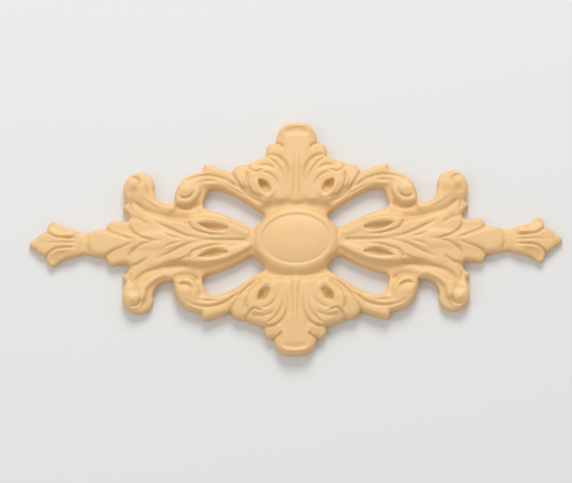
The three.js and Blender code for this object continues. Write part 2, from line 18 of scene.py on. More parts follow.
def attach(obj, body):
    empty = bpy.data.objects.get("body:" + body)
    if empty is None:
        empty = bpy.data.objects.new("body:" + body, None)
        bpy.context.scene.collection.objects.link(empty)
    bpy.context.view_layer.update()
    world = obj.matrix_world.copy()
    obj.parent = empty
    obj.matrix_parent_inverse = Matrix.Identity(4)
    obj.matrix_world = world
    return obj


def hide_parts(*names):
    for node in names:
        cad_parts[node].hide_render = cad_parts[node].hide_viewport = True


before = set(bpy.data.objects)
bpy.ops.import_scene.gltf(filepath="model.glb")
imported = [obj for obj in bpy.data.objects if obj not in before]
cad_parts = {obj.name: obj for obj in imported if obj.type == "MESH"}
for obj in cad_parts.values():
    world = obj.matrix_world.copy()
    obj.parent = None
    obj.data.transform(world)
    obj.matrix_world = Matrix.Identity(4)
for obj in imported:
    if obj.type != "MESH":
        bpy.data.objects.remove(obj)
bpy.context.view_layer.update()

MM = 0.001
# The whole thickness in percent
FULL = 100.0
# Places worked out between two points of a path
CURVE_POINTS = 24
# Keeps a division away from 0
TINY = 1e-9

Point = tuple[float, float]
Place = tuple[float, float, float]
Path = tuple[Point, ...]
Shares = tuple[float, float]
Colour = tuple[float, float, float, float]

log = logging.getLogger("frieze_ornament")


class Cut(Enum):
    """How a stroke of the carving changes the height beside its path."""

    CREASE = "sharp valley"
    BEAD = "round ridge"
    HOLLOW = "round dish"
    EYE = "deep pit, drawn to a point"


@dataclass(frozen=True)
class Crown:
    """Broad height of one form along its back, from one end of its path to the other.

    Heights are percent of the thickness.
    """

    form: str
    start: float
    end: float
    path: Path


@dataclass(frozen=True)
class Stroke:
    """One stroke of the carving on the design grid.

    The depth is percent of the thickness, left and right are its reach to each side of the path,
    and ends are the shares of its length over which it fades in and out. For an eye, ends are the
    share of its length where it is widest, and how wide its start is against that.
    """

    form: str
    cut: Cut
    depth: float
    left: float
    right: float
    path: Path
    ends: Shares = (0.0, 0.0)


OUTER_EDGE: tuple[Path, ...] = (
    ((100, 0), (98.9, 1.3), (97.2, 2.2)),
    ((96.7, 3.1), (95.3, 3.7)),
    ((94.7, 4.4), (93.5, 4.7)),
    ((93, 6.7), (92.4, 7.9), (91.1, 8.6), (89.9, 7.9), (88.5, 6.8), (85.5, 5.5), (82, 4.7), (79.8, 3.9),
     (75, 4.8), (71.2, 5.4)),
    ((70.5, 7.2), (69.1, 8.4), (66, 8.05), (63.1, 8.1), (62.4, 9.4), (62.8, 11.1), (63.8, 12.3),
     (65, 13.1)),
    ((64.3, 14.2), (63.4, 15.2)),
    ((64.5, 18), (64.9, 21.2), (63.4, 24.7), (60.6, 26.8), (57.5, 27), (54.8, 25.6), (53.4, 22.9),
     (53.5, 20.2), (52.2, 17), (49.6, 15.1), (45.8, 14.8)),
    ((45.7, 17.5), (44.6, 21.4), (41.7, 25), (38.4, 26.5), (35.3, 27.4)),
    ((34.9, 28.9), (34.4, 29.9), (30.8, 29.2), (27.6, 28.1), (24.4, 26.8)),
    ((23.7, 27.9), (22.4, 29.3), (20.5, 29.8), (18.5, 29.9)),
    ((16.4, 31.1), (14, 31.9), (11.5, 32.9)),
    ((11.4, 35), (11, 36.6), (9.8, 37.6), (7.9, 37.8)),
    ((7.6, 39.7), (6.9, 41.8), (5.2, 43.7), (3, 44.7), (0, 45)),
)

WINDOW_EDGE: tuple[Path, ...] = (
    ((16.1, 5.2), (14.2, 6.5), (11.9, 9.2), (12, 10.9), (15, 13.1), (20, 16.4), (25, 19.2),
     (28, 20.4), (31, 20.9), (33.2, 20), (34.4, 17), (35, 14.2), (33.7, 12.5), (30, 11.4),
     (25, 9.5), (20, 7), (17.3, 5.4), (16.1, 5.2)),
)

CROWNS: tuple[Crown, ...] = (
    Crown("leaf root", 74, 76, ((17, 0.4), (24, 1))),
    Crown("leaf stem", 82, 82, ((31, 0.6), (40, 0), (50, 0))),
    Crown("leaf end", 82, 60, ((50, 0), (72, 0))),
    Crown("neck", 60, 54, ((72, 0), (77.4, 0))),
    Crown("waist", 46, 44, ((79.6, 0), (79.6, 4))),
    Crown("finial cup", 50, 60, ((82, 0), (88, 0))),
    Crown("finial tip", 60, 36, ((88, 0), (100, 0))),
    Crown("finial petal", 56, 42, ((86, 3), (91, 7))),
    Crown("leaf shoulder", 80, 84, ((18.5, 2.6), (22, 4.4), (25, 5.6), (28.5, 7), (33, 7.6), (38, 7))),
    Crown("leaf edge", 58, 54, ((17, 4.4), (20, 6.2), (24, 8.4))),
    Crown("leaf sill", 56, 52, ((27, 9.4), (31, 10.3), (35, 12.3))),
    Crown("leaf blades", 82, 66, ((40, 5), (52, 6), (61, 6))),
    Crown("tooth", 64, 50, ((62, 5), (69, 7.2))),
    Crown("scroll valley", 52, 56, ((36.6, 11.2), (41, 11), (46, 10.8))),
    Crown("wing scroll", 66, 72, ((47, 12.4), (53, 14.6), (56.8, 17.6), (57.4, 20.5))),
    Crown("wing side", 54, 48, ((49.4, 14.6), (52.4, 16.6), (54.3, 19.4), (54.6, 23), (56.6, 25.6))),
    Crown("wing lobe", 66, 66, ((60, 20), (62, 24))),
    Crown("wing barb", 64, 50, ((58, 10.6), (63, 12.4))),
    Crown("palmette shoulder", 82, 84, ((6, 17.6), (8, 24), (13, 26), (17, 22))),
    Crown("palmette heart", 82, 82, ((12, 16.6), (15, 19.6))),
    Crown("palmette stem", 80, 84, ((0, 16.8), (0, 30))),
    Crown("palmette tip", 84, 72, ((0, 30), (0, 43))),
    Crown("second lobe", 76, 60, ((6.4, 33.6), (9.5, 36))),
    Crown("third lobe", 78, 62, ((11, 29.6), (15, 31))),
    Crown("fourth lobe", 76, 64, ((19.6, 22.5), (22, 28))),
    Crown("moat", 64, 48, ((0, 12.4), (6, 12.2), (11.6, 11.4))),
    Crown("arm root", 60, 62, ((14.5, 14.8), (20, 18.4))),
    Crown("arm", 62, 70, ((20, 19.2), (26, 22.2), (33, 23.6))),
    Crown("arm band", 62, 70, ((26, 25.6), (33, 27), (40, 25.4))),
    Crown("volute ring", 76, 76, ((37.2, 19), (38.8, 16.8), (41, 16.2), (44, 16.6))),
    Crown("volute side", 56, 52, ((34.8, 19), (35.6, 16.6), (36.8, 14.8))),
    Crown("volute", 76, 76, ((41, 20), (43.4, 21.4))),
)

STROKES: tuple[Stroke, ...] = (
    Stroke("valley of the leaf", Cut.CREASE, 9, 1.3, 1.3,
           ((18, 0), (24, 0), (31, 0), (42, 0.4)), (0.05, 0.5)),
    Stroke("hook of the first leaflet", Cut.CREASE, 9, 0.9, 1.2,
           ((27, 1.9), (31, 2.2), (34.5, 3), (37.2, 3.8), (38.9, 4.7), (39.8, 6.2), (40.4, 7.6)),
           (0.3, 0.05)),
    Stroke("second leaflet", Cut.CREASE, 9, 1, 1.4,
           ((34, 0.9), (38, 1.1), (41, 1.8), (43.2, 2.7), (45.4, 3.8), (48, 5.1), (50.5, 6.2),
            (53, 7.6)), (0.35, 0.25)),
    Stroke("side of the second leaflet", Cut.CREASE, 7, 1.8, 0.8,
           ((39.8, 5.4), (41.6, 6.6), (44.4, 7.7), (47.4, 8.4), (50.4, 8.8)), (0.2, 0.4)),
    Stroke("small leaflet", Cut.CREASE, 6, 0.9, 0.9,
           ((43, 0.7), (45.6, 1.2), (48, 2), (50, 3.2)), (0.3, 0.3)),
    Stroke("third leaflet", Cut.CREASE, 9, 1, 1.5,
           ((50, 0), (53.4, 0.1), (55.8, 0.8), (57.9, 1.5), (59.5, 2.5), (61.1, 3.7), (62.1, 5.2),
            (62.6, 8.2)), (0.3, 0.2)),
    Stroke("curl by the notch", Cut.CREASE, 8, 2, 0.8,
           ((55.5, 5.7), (56.4, 6.9), (57.8, 7.8), (59.2, 8.7), (61, 9), (62.3, 9.8)), (0.2, 0)),
    Stroke("tooth", Cut.CREASE, 8, 1.1, 1.5,
           ((60, 0.6), (62.6, 1.2), (64.8, 2.1), (67, 2.9), (69, 3.8), (71.2, 5.4)), (0.25, 0)),
    Stroke("foot of the wing scroll", Cut.CREASE, 11, 3.2, 1.6,
           ((38.5, 8.7), (41, 8.9), (45.5, 9.2), (51.7, 10.5), (56.7, 12.2), (59.7, 14.6), (62.7, 17.6)),
           (0.1, 0.15)),
    Stroke("step of the wing scroll", Cut.CREASE, 4, 1, 2.4,
           ((50.3, 12.4), (52.6, 13.2), (54.6, 14.4), (57.2, 16.2), (59.4, 17.6)), (0.25, 0.3)),
    Stroke("barb", Cut.CREASE, 5, 1, 1, ((61.6, 15.4), (62, 13.8), (61.8, 12)), (0, 0.2)),
    Stroke("curl of the wing lobe", Cut.CREASE, 9, 0.9, 1.1,
           ((58.1, 21.4), (58.4, 23.2), (59.6, 24.7), (61.4, 25), (62.8, 24.4)), (0.2, 0.25)),
    Stroke("channel of the arm", Cut.CREASE, 9, 1.1, 1.2,
           ((20.5, 19.8), (24, 22.2), (26, 23.6), (28.3, 24.5), (31.2, 25.2), (33.7, 25.4), (36.9, 25),
            (39.8, 24), (42, 22.4), (43.6, 20.4)), (0.15, 0.4)),
    Stroke("inner bead of the arm", Cut.CREASE, 6, 1.6, 1,
           ((29, 23), (33, 23.1), (35.6, 22.8), (37.6, 21.9)), (0.35, 0.5)),
    Stroke("fine crease of the arm", Cut.CREASE, 5, 0.8, 0.8,
           ((18.4, 17), (21, 18.4), (24, 20.2), (27, 21.6)), (0.2, 0.3)),
    Stroke("crescent of the volute", Cut.CREASE, 11, 0.9, 1.1,
           ((38.4, 20), (38.8, 18.4), (39.8, 17.2), (41.6, 16.6), (43.2, 16.9), (44.2, 17.7)),
           (0.35, 0.25)),
    Stroke("foot of the volute", Cut.CREASE, 12, 2.2, 2.4,
           ((36, 15.4), (38.2, 13.6), (41.5, 13), (45.7, 13.9)), (0.15, 0.05)),
    Stroke("first lobe", Cut.CREASE, 10, 1, 1.1, ((7.9, 37.8), (6.2, 37), (4.7, 35.4)), (0, 0.25)),
    Stroke("second lobe", Cut.CREASE, 10, 0.8, 1.5,
           ((11.5, 32.9), (9, 33.1), (6.4, 32), (4.4, 29.8), (3.3, 27), (3.1, 23.5), (3.3, 19.5)),
           (0, 0.5)),
    Stroke("third lobe", Cut.CREASE, 7, 0.9, 0.8,
           ((10.8, 32.1), (8.7, 30.8), (6.9, 28.9), (5.4, 26.4), (4.6, 23.8), (4.5, 20.4)), (0.05, 0.5)),
    Stroke("fold above the eye", Cut.CREASE, 6, 0.8, 0.9,
           ((7.8, 27), (9.4, 28.5), (12, 29.2), (15, 29)), (0.2, 0.3)),
    Stroke("brow of the eye", Cut.CREASE, 7, 1, 1,
           ((6.3, 19.6), (7.4, 22.8), (9.2, 24.9), (11.2, 26), (13.2, 26)), (0.45, 0.2)),
    Stroke("wave by the notch", Cut.CREASE, 9, 1, 1.1,
           ((11.8, 27.4), (13.4, 27.1), (15.4, 26.5), (17, 27.5), (18.5, 29.9)), (0.2, 0)),
    Stroke("flute of the fourth lobe", Cut.CREASE, 8, 0.9, 1.1,
           ((18.2, 27), (18.7, 24.6), (18.2, 21.4), (16.6, 18.7), (14.2, 17), (11.6, 16)), (0.1, 0.2)),
    Stroke("second flute", Cut.CREASE, 6, 0.8, 0.8,
           ((20.3, 24.4), (19.6, 21.6), (17.6, 18.8), (15, 16.7)), (0.2, 0.2)),
    Stroke("root of the arm", Cut.CREASE, 9, 1.1, 1.1,
           ((24.4, 26.8), (23, 24.4), (21.4, 21.8), (19, 18.8), (16, 16.2), (13.6, 14.6)), (0, 0.2)),
    Stroke("side of the palmette stem", Cut.CREASE, 5, 0.7, 0.9,
           ((1, 34), (1, 27), (1.2, 19.5), (2, 15.6), (3.2, 13.4)), (0.3, 0.3)),
    Stroke("side of the finial petal", Cut.CREASE, 9, 0.8, 0.9,
           ((82.6, 1.8), (87, 1.9), (89.8, 2.2), (92, 3.3), (93.5, 4.7)), (0.15, 0)),
    Stroke("middle of the finial", Cut.CREASE, 6, 0.8, 0.8,
           ((82.6, 0), (88, 0), (96, 0)), (0.15, 0.6)),
    Stroke("end of the neck", Cut.CREASE, 6, 1.4, 0.9,
           ((78.2, 0), (78, 2.2), (77.4, 4.3)), (0, 0.2)),
    Stroke("palmette stem", Cut.BEAD, 2, 1, 1, ((0, 14), (0, 33)), (0.2, 0.4)),
    Stroke("lip of the palmette", Cut.BEAD, 6, 1.6, 1.6,
           ((0, 44.2), (3.2, 43.6), (5.6, 41.8)), (0, 0.5)),
    Stroke("rim of the eye", Cut.BEAD, 5, 1.3, 1.3,
           ((8.3, 21), (8.8, 18.2), (10.8, 16.6), (13, 18.2), (14.9, 21), (15.6, 24)), (0.2, 0.2)),
    Stroke("ridge over the leaf eye", Cut.BEAD, 4, 1.1, 1.1,
           ((25, 6), (28.5, 7.3), (33, 7.9), (37, 7.6)), (0.2, 0.2)),
    Stroke("ridge under the leaf eye", Cut.BEAD, 4, 0.9, 0.9,
           ((25, 3), (29, 2.7), (33, 3.1), (36.4, 4.6)), (0.2, 0.2)),
    Stroke("button of the volute", Cut.BEAD, 4, 2, 2.8, ((40.4, 19.8), (42.6, 19.6)), (0, 0)),
    Stroke("ball of the wing lobe", Cut.BEAD, 13, 1.8, 3.9,
           ((58.8, 22.9), (61.1, 22.4), (63.4, 22.9)), (0.4, 0.4)),
    Stroke("ridge round the wing lobe", Cut.BEAD, 4, 1, 1,
           ((57.2, 18.2), (57.2, 21.8), (57.9, 24.4), (60, 26)), (0.3, 0.3)),
    Stroke("ridge of the finial petal", Cut.BEAD, 5, 0.9, 0.9,
           ((82.8, 2.9), (87, 3), (89.8, 3.5), (91.6, 4.7), (92.3, 6)), (0.2, 0.2)),
    Stroke("below the palmette lip", Cut.HOLLOW, 4, 2, 2, ((0, 42), (3.2, 41.5))),
    Stroke("finial petal", Cut.HOLLOW, 4, 1.8, 1.8, ((87.2, 4.7), (90.6, 6.9))),
    Stroke("dish of the wing lobe", Cut.HOLLOW, 4, 2.4, 2.4, ((60.4, 17.8), (61, 19.4))),
    Stroke("palmette eye", Cut.EYE, 30, 1.9, 1.9,
           ((10.9, 19.7), (12, 21), (14.1, 23.5)), (0.35, 0.8)),
    Stroke("leaf eye", Cut.EYE, 22, 1.5, 1.5,
           ((25.8, 4.7), (30, 4.9), (33.6, 5.6), (36.9, 6.5)), (0.4, 0.35)),
)


def smooth_line(path: Path, step: float) -> np.ndarray:
    """Traces a smooth curve through a path.

    Args:
        path: Points that the curve passes through.
        step: Rough distance between the points of the result.

    Returns:
        Evenly spaced points along the curve, one row each.
    """
    knots = np.array(path, dtype=float)
    before = 2 * knots[0] - knots[1]
    after = 2 * knots[-1] - knots[-2]
    knots = np.vstack([before, knots, after])
    fine = []
    for p0, p1, p2, p3 in zip(knots, knots[1:], knots[2:], knots[3:]):
        t1 = np.linalg.norm(p1 - p0) ** 0.5
        t2 = t1 + np.linalg.norm(p2 - p1) ** 0.5
        t3 = t2 + np.linalg.norm(p3 - p2) ** 0.5
        t = np.linspace(t1, t2, CURVE_POINTS, endpoint=False)[:, None]
        a1 = p0 + (p1 - p0) * t / t1
        a2 = p1 + (p2 - p1) * (t - t1) / (t2 - t1)
        a3 = p2 + (p3 - p2) * (t - t2) / (t3 - t2)
        b1 = a1 + (a2 - a1) * t / t2
        b2 = a2 + (a3 - a2) * (t - t1) / (t3 - t1)
        fine.append(b1 + (b2 - b1) * (t - t1) / (t2 - t1))
    fine = np.vstack([*fine, knots[-2]])
    lengths = np.concatenate([[0], np.cumsum(np.linalg.norm(np.diff(fine, axis=0), axis=1))])
    count = max(2, round(lengths[-1] / step))
    spots = np.linspace(0, lengths[-1], count + 1)
    return np.column_stack([np.interp(spots, lengths, fine[:, i]) for i in range(2)])


def edge_line(runs: tuple[Path, ...], step: float) -> np.ndarray:
    """Joins the runs of an edge to one line, with a corner where two runs meet.

    Args:
        runs: Runs of the edge. Each starts where the one before it ends.
        step: Rough distance between the points of the result.

    Returns:
        Points along the whole edge, one row each.
    """
    rows = []
    last: Path = ()
    for run in runs:
        line = smooth_line(last + run, step)
        rows.append(line[1:] if last else line)
        last = (run[-1],)
    return np.vstack(rows)


def nearest(line: np.ndarray, spots: np.ndarray) -> tuple[np.ndarray, np.ndarray, np.ndarray]:
    """Finds the nearest place on a line for each of many spots.

    Args:
        line: Points along the line, one row each.
        spots: Places in plan, one row each.

    Returns:
        The distances, the sides (True on the left) and the shares of the line's length.
    """
    best = np.full(len(spots), np.inf)
    left = np.ones(len(spots), dtype=bool)
    share = np.zeros(len(spots))
    for i, (a, b) in enumerate(zip(line, line[1:])):
        along = b - a
        away = spots - a
        t = np.clip(away @ along / (along @ along), 0, 1)
        gap = away - t[:, None] * along
        squared = (gap * gap).sum(axis=1)
        closer = squared < best
        best = np.where(closer, squared, best)
        cross = along[0] * away[:, 1] - along[1] * away[:, 0]
        left = np.where(closer, cross >= 0, left)
        share = np.where(closer, (i + t) / (len(line) - 1), share)
    return np.sqrt(best), left, share


@dataclass
class Relief:
    """Height of the carving above the flat back, over one quarter of the ornament.

    The dome's rise, the ring's top and fall, the foot's depth and the full groove are percent of
    the thickness. The fullnesses and the taper are powers. The rim's share and the eye's start
    depth and deepening share are shares. All else is in millimetres.
    """

    thickness: float = 8.0
    rim_height: float = 3.4
    rim_rounding: float = 1.9
    medallion_length: float = 25.2
    medallion_width: float = 18.8
    ring_width: float = 2.3
    dome_rise: float = 15.0
    dome_fullness: float = 3.0
    ring_top: float = 89.0
    ring_step: float = 0.8
    ring_fall: float = 6.0
    foot_depth: float = 2.0
    foot_reach: float = 0.6
    crown_softness: float = 1.0
    crease_bottom: float = 0.2
    rim_share: float = 0.75
    eye_start_depth: float = 0.5
    eye_deepening_share: float = 0.5
    eye_taper: float = 0.8
    eye_fullness: float = 2.5
    eye_least_width: float = 0.01
    full_groove: float = 16.0
    edge_step: float = 0.45
    stroke_step: float = 0.6
    outer: np.ndarray = field(init=False)
    window: np.ndarray = field(init=False)

    def __post_init__(self) -> None:
        """Traces the two edges of the quarter."""
        self.outer = edge_line(OUTER_EDGE, self.edge_step)
        self.window = edge_line(WINDOW_EDGE, self.edge_step)

    def broad(self, spots: np.ndarray) -> np.ndarray:
        """Blends the crowns, each weighed by its nearness.

        Args:
            spots: Places in plan, one row each.

        Returns:
            Broad heights in percent of the thickness.
        """
        total = np.zeros(len(spots))
        weights = np.zeros(len(spots))
        for crown in CROWNS:
            distance, _, share = nearest(smooth_line(crown.path, self.stroke_step), spots)
            weight = 1 / (distance**2 + self.crown_softness**2) ** 2
            total += weight * (crown.start + (crown.end - crown.start) * share)
            weights += weight
        return total / weights

    def carved(self, spots: np.ndarray) -> np.ndarray:
        """Adds up what the strokes raise and lower.

        Args:
            spots: Places in plan, one row each.

        Returns:
            Changes of height in percent of the thickness.
        """
        height = np.zeros(len(spots))
        for stroke in STROKES:
            line = smooth_line(stroke.path, self.stroke_step)
            reach = max(stroke.left, stroke.right)
            low, high = line.min(axis=0) - reach, line.max(axis=0) + reach
            near = ((spots > low) & (spots < high)).all(axis=1)
            height[near] += self.stroke_height(stroke, line, spots[near])
        return height

    def stroke_height(self, stroke: Stroke, line: np.ndarray, spots: np.ndarray) -> np.ndarray:
        """Works out what one stroke adds to the height.

        Args:
            stroke: The stroke.
            line: Its path, traced.
            spots: Places near it, one row each.

        Returns:
            Changes of height in percent of the thickness.
        """
        distance, left, share = nearest(line, spots)
        start, end = stroke.ends
        if stroke.cut is Cut.EYE:
            swell = end + (1 - end) * np.sin(np.minimum(share / start, 1) * math.pi / 2)
            taper = np.cos(np.clip((share - start) / (1 - start), 0, 1) * math.pi / 2)
            width = np.maximum(stroke.left * swell * taper**self.eye_taper, self.eye_least_width)
            t = np.minimum(distance / width, 1)
            deepening_t = np.minimum(share / self.eye_deepening_share, 1)
            deepening = self.eye_start_depth + (1 - self.eye_start_depth) * deepening_t
            return -stroke.depth * deepening * (1 - t**self.eye_fullness) * np.sqrt(taper)
        rising = np.minimum(share / start, 1) if start else 1
        falling = np.minimum((1 - share) / end, 1) if end else 1
        reach = np.where(left, stroke.left, stroke.right)
        if stroke.cut is Cut.CREASE:
            t = np.minimum(np.hypot(distance, self.crease_bottom) / reach, 1)
            return -stroke.depth * ((1 - t) / (1 - self.crease_bottom / reach)) ** 2 * rising * falling
        t = np.minimum(distance / reach, 1)
        sign = 1 if stroke.cut is Cut.BEAD else -1
        return sign * stroke.depth * (1 - t * t) ** 2 * rising * falling

    def beyond_dome(self, spots: np.ndarray) -> tuple[np.ndarray, np.ndarray]:
        """Finds how far places lie outside the oval edge of the dome.

        Args:
            spots: Places in plan, one row each.

        Returns:
            Their distances from the middle as shares of the oval's, and how far outside they are.
        """
        half = np.array([self.medallion_length, self.medallion_width]) / 2
        share = np.linalg.norm(spots / half, axis=1)
        out = np.linalg.norm(spots, axis=1) * (1 - 1 / np.maximum(share, TINY))
        return share, np.where(share > 0, out, -half[1])

    def medallion(self, spots: np.ndarray, around: np.ndarray) -> np.ndarray:
        """Sets the oval medallion and its ring into the carving.

        Args:
            spots: Places in plan, one row each.
            around: Heights of the carving there, in percent of the thickness.

        Returns:
            Heights with the medallion in place.
        """
        share, out = self.beyond_dome(spots)
        edge = FULL - self.dome_rise
        step_t = np.clip(out / self.ring_step, 0, 1)
        fall_t = np.maximum(out - self.ring_step, 0) / (self.ring_width - self.ring_step)
        step_left = (self.ring_top - edge) * (1 - step_t) ** 2
        ring = self.ring_top - step_left - self.ring_fall * fall_t**2
        foot_t = np.clip((out - self.ring_width) / self.foot_reach, 0, 1)
        beyond = np.maximum(ring, around - self.foot_depth * (1 - foot_t) ** 2)
        dome = edge + self.dome_rise * (1 - np.minimum(share, 1) ** self.dome_fullness)
        return np.where(out > 0, beyond, dome)

    def height(self, spots: np.ndarray) -> tuple[np.ndarray, np.ndarray]:
        """Works out the height of the relief above the back.

        Args:
            spots: Places in plan, one row each, in millimetres.

        Returns:
            Heights in millimetres, and how deep in a groove each place lies, from 0 to 1.
        """
        carved = self.carved(spots)
        full = self.medallion(spots, self.broad(spots) + carved) * self.thickness / FULL
        edge = np.minimum(nearest(self.outer, spots)[0], nearest(self.window, spots)[0])
        inward = 1 - np.minimum(edge / self.rim_rounding, 1)
        rim = np.minimum(self.rim_height, self.rim_share * full)
        height = rim + (full - rim) * np.sqrt(1 - inward**2)
        return height, np.clip(-carved / self.full_groove, 0, 1)


@dataclass
class Casting:
    """The whole ornament as one fine mesh: carved face, walls and flat back.

    The lean is a share, and the other sizes are millimetres.
    """

    relief: Relief
    name: str = "carved_casting"
    cell: float = 0.32
    pull: float = 0.12
    merge: float = 1e-4
    lean: float = 0.018
    crest_shift: float = 1.4
    crest_start: float = 30.0
    half_length: float = 100.0
    half_width: float = 45.0

    def quarter(self) -> bmesh.types.BMesh:
        """Cuts one quarter's plan into small cells.

        Returns:
            A flat mesh of the quarter, in millimetres.
        """
        bm = bmesh.new()
        corners = [bm.verts.new((0, 0, 0))]
        corners += [bm.verts.new((x, y, 0)) for x, y in self.relief.outer]
        hole = [bm.verts.new((x, y, 0)) for x, y in self.relief.window[:-1]]
        for loop in (corners, hole):
            for a, b in zip(loop, loop[1:] + loop[:1]):
                bm.edges.new((a, b))
        bmesh.ops.triangle_fill(bm, use_beauty=True, use_dissolve=False, edges=bm.edges[:])
        for edge in bm.edges:
            edge.seam = not edge.is_boundary
        for axis in (1, 0):
            self.slice(bm, axis)
        bmesh.ops.dissolve_edges(bm, edges=[e for e in bm.edges if e.seam], use_verts=False)
        spare = [v for v in bm.verts if len(v.link_edges) == 2 and not v.is_boundary]
        bmesh.ops.dissolve_verts(bm, verts=spare)
        for face in bm.faces:
            if face.normal.z < 0:
                face.normal_flip()
        bmesh.ops.triangulate(bm, faces=[f for f in bm.faces if len(f.verts) > 4])
        self.align(bm)
        return bm

    def align(self, bm: bmesh.types.BMesh) -> None:
        """Pulls corners of cells onto the sharp valleys and the dome's edge that they lie beside.

        Args:
            bm: The flat quarter, changed in place.
        """
        verts = bm.verts[:]
        spots = np.array([v.co[:2] for v in verts])
        free = np.array([not v.is_boundary for v in verts])
        for stroke in (s for s in STROKES if s.cut is Cut.CREASE):
            line = smooth_line(stroke.path, self.relief.stroke_step)
            distance, _, share = nearest(line, spots)
            numbers = np.arange(len(line))
            place = share * numbers[-1]
            foot = np.column_stack([np.interp(place, numbers, line[:, i]) for i in range(2)])
            beside = free & (distance < self.pull)
            spots[beside] = foot[beside]
        share, out = self.relief.beyond_dome(spots)
        beside = np.abs(out) < self.pull
        spots[beside] /= share[beside, None]
        for vert, (x, y) in zip(verts, spots):
            vert.co.x, vert.co.y = x, y
        # Corners pulled to one and the same place become one
        bmesh.ops.remove_doubles(bm, verts=verts, dist=self.merge)

    def slice(self, bm: bmesh.types.BMesh, axis: int) -> None:
        """Cuts the flat mesh into strips across one axis.

        Args:
            bm: The mesh, cut in place.
            axis: 0 cuts across X, 1 cuts across Y.
        """
        normal = Vector((1 - axis, axis, 0))
        far = max(v.co[axis] for v in bm.verts)
        todo = bm.faces[:]
        for k in range(1, math.ceil(far / self.cell)):
            place = normal * (k * self.cell)
            edges = {e for f in todo for e in f.edges}
            verts = {v for f in todo for v in f.verts}
            done = bmesh.ops.bisect_plane(
                bm, geom=[*verts, *edges, *todo], dist=self.merge, plane_co=place, plane_no=normal)
            faces = (g for g in done["geom"] if isinstance(g, bmesh.types.BMFace))
            todo = [f for f in faces if f.calc_center_median()[axis] > k * self.cell]

    def settle(self, bm: bmesh.types.BMesh) -> None:
        """Gives the casting its slight lean and the shift of its two crests.

        Args:
            bm: The whole face, in millimetres, moved in place.
        """
        span = self.half_width - self.crest_start
        for vert in bm.verts:
            x, y = vert.co.x, vert.co.y
            over = max(abs(y) - self.crest_start, 0) / span
            vert.co.x = x + self.lean * y * (1 - abs(x) / self.half_length)
            vert.co.y = y + self.crest_shift * over**2

    def build(self) -> bpy.types.Object:
        """Carves the quarter, mirrors it, and closes it with walls and a back.

        Returns:
            The finished piece, in metres.
        """
        bm = self.quarter()
        spots = np.array([v.co[:2] for v in bm.verts])
        # Each corner keeps how deep in a groove it lies; the finish uses this to paint shade into the
        # grooves
        groove = bm.verts.layers.float.new("groove")
        for vert, height, depth in zip(bm.verts, *self.relief.height(spots)):
            vert.co.z = height
            vert[groove] = depth
        # A cell beside a valley folds along its shorter diagonal, which follows the valley.
        # Cells at the rim are left alone: folded so, they showed as small dark strokes.
        inner = [f for f in bm.faces if not any(v.is_boundary for v in f.verts)]
        bmesh.ops.triangulate(bm, faces=inner, quad_method="SHORT_EDGE")
        for axis in ("X", "Y"):
            geometry = [*bm.verts, *bm.edges, *bm.faces]
            bmesh.ops.mirror(bm, geom=geometry, matrix=Matrix(), merge_dist=self.merge, axis=axis)
        self.settle(bm)
        bmesh.ops.recalc_face_normals(bm, faces=bm.faces[:])
        rim = [e for e in bm.edges if e.is_boundary]
        wall = bmesh.ops.extrude_edge_only(bm, edges=rim)["geom"]
        foot = [g for g in wall if isinstance(g, bmesh.types.BMVert)]
        for vert in foot:
            vert.co.z = 0
        foot_edges = [e for e in bm.edges if e.is_boundary]
        bmesh.ops.triangle_fill(bm, use_beauty=True, use_dissolve=False, edges=foot_edges)
        bmesh.ops.recalc_face_normals(bm, faces=bm.faces[:])
        for face in bm.faces:
            face.smooth = True
        for edge in foot_edges:
            edge.smooth = False
        bmesh.ops.scale(bm, vec=(MM, MM, MM), verts=bm.verts[:])
        mesh = bpy.data.meshes.new(self.name)
        bm.to_mesh(mesh)
        bm.free()
        piece = bpy.data.objects.new(self.name, mesh)
        bpy.context.scene.collection.objects.link(piece)
        return piece


@dataclass(frozen=True)
class ColourMix:
    """The sockets of a Mix node that blends colours."""

    inputs: dict[str, bpy.types.NodeSocket]
    outputs: dict[str, bpy.types.NodeSocket]


